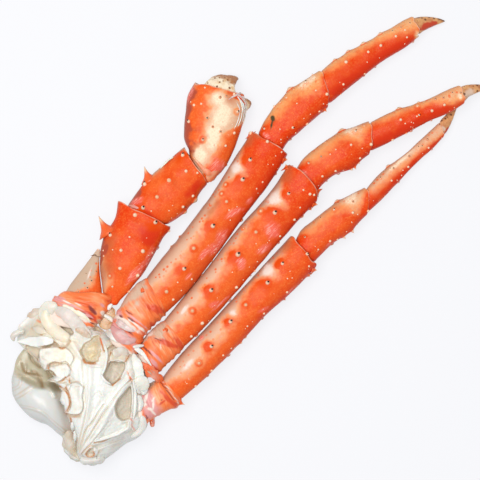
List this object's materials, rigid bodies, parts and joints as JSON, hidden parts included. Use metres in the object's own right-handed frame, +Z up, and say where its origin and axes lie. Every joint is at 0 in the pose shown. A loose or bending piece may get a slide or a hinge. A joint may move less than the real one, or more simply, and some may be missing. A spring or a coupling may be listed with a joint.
{
  "type": "king crab leg cluster",
  "caption": "Cooked king crab cluster lying flat: white body-meat shoulder, spiny claw arm with its claw, and three jointed walking legs in orange-red shell.",
  "frame": {"origin": "middle of the footprint on the surface that the cluster lies on", "axes": "+X along the legs from the shoulder to their tips, +Y towards the claw arm, +Z up from the surface"},
  "size_m": [0.4329, 0.1747, 0.0451],
  "materials": {
    "shoulder_membrane": "thin white shell and membrane, satin, slightly translucent",
    "body_meat": "moist grey-white cooked meat, soft gloss",
    "joint_skin": "orange streaked joint shell and pale pink membrane, wet gloss",
    "pale_shell": "cream underside shell with orange edge, satin gloss",
    "cooked_shell": "orange-red cooked shell, cream patches, glossy, with cream tubercles tipped black",
    "horny_tip": "tan to brown horn with black specks, satin gloss"
  },
  "bodies": {
    "root": {"shoulder": "shoulder_membrane", "body_meat": "body_meat", "claw_coxa": "joint_skin", "claw_ischium": "pale_shell", "claw_merus": "cooked_shell", "claw_carpus": "cooked_shell", "claw_palm": "cooked_shell", "claw_finger_moving": "horny_tip", "claw_finger_fixed": "horny_tip", "leg_1_coxa": "joint_skin", "leg_1_merus": "cooked_shell", "leg_1_carpus": "cooked_shell", "leg_1_propodus": "cooked_shell", "leg_1_dactyl": "horny_tip", "leg_2_coxa": "joint_skin", "leg_2_merus": "cooked_shell", "leg_2_carpus": "cooked_shell", "leg_2_propodus": "cooked_shell", "leg_2_dactyl": "horny_tip", "leg_3_coxa": "joint_skin", "leg_3_merus": "cooked_shell", "leg_3_carpus": "cooked_shell", "leg_3_propodus": "cooked_shell", "leg_3_dactyl": "horny_tip"}
  },
  "joints": []
}
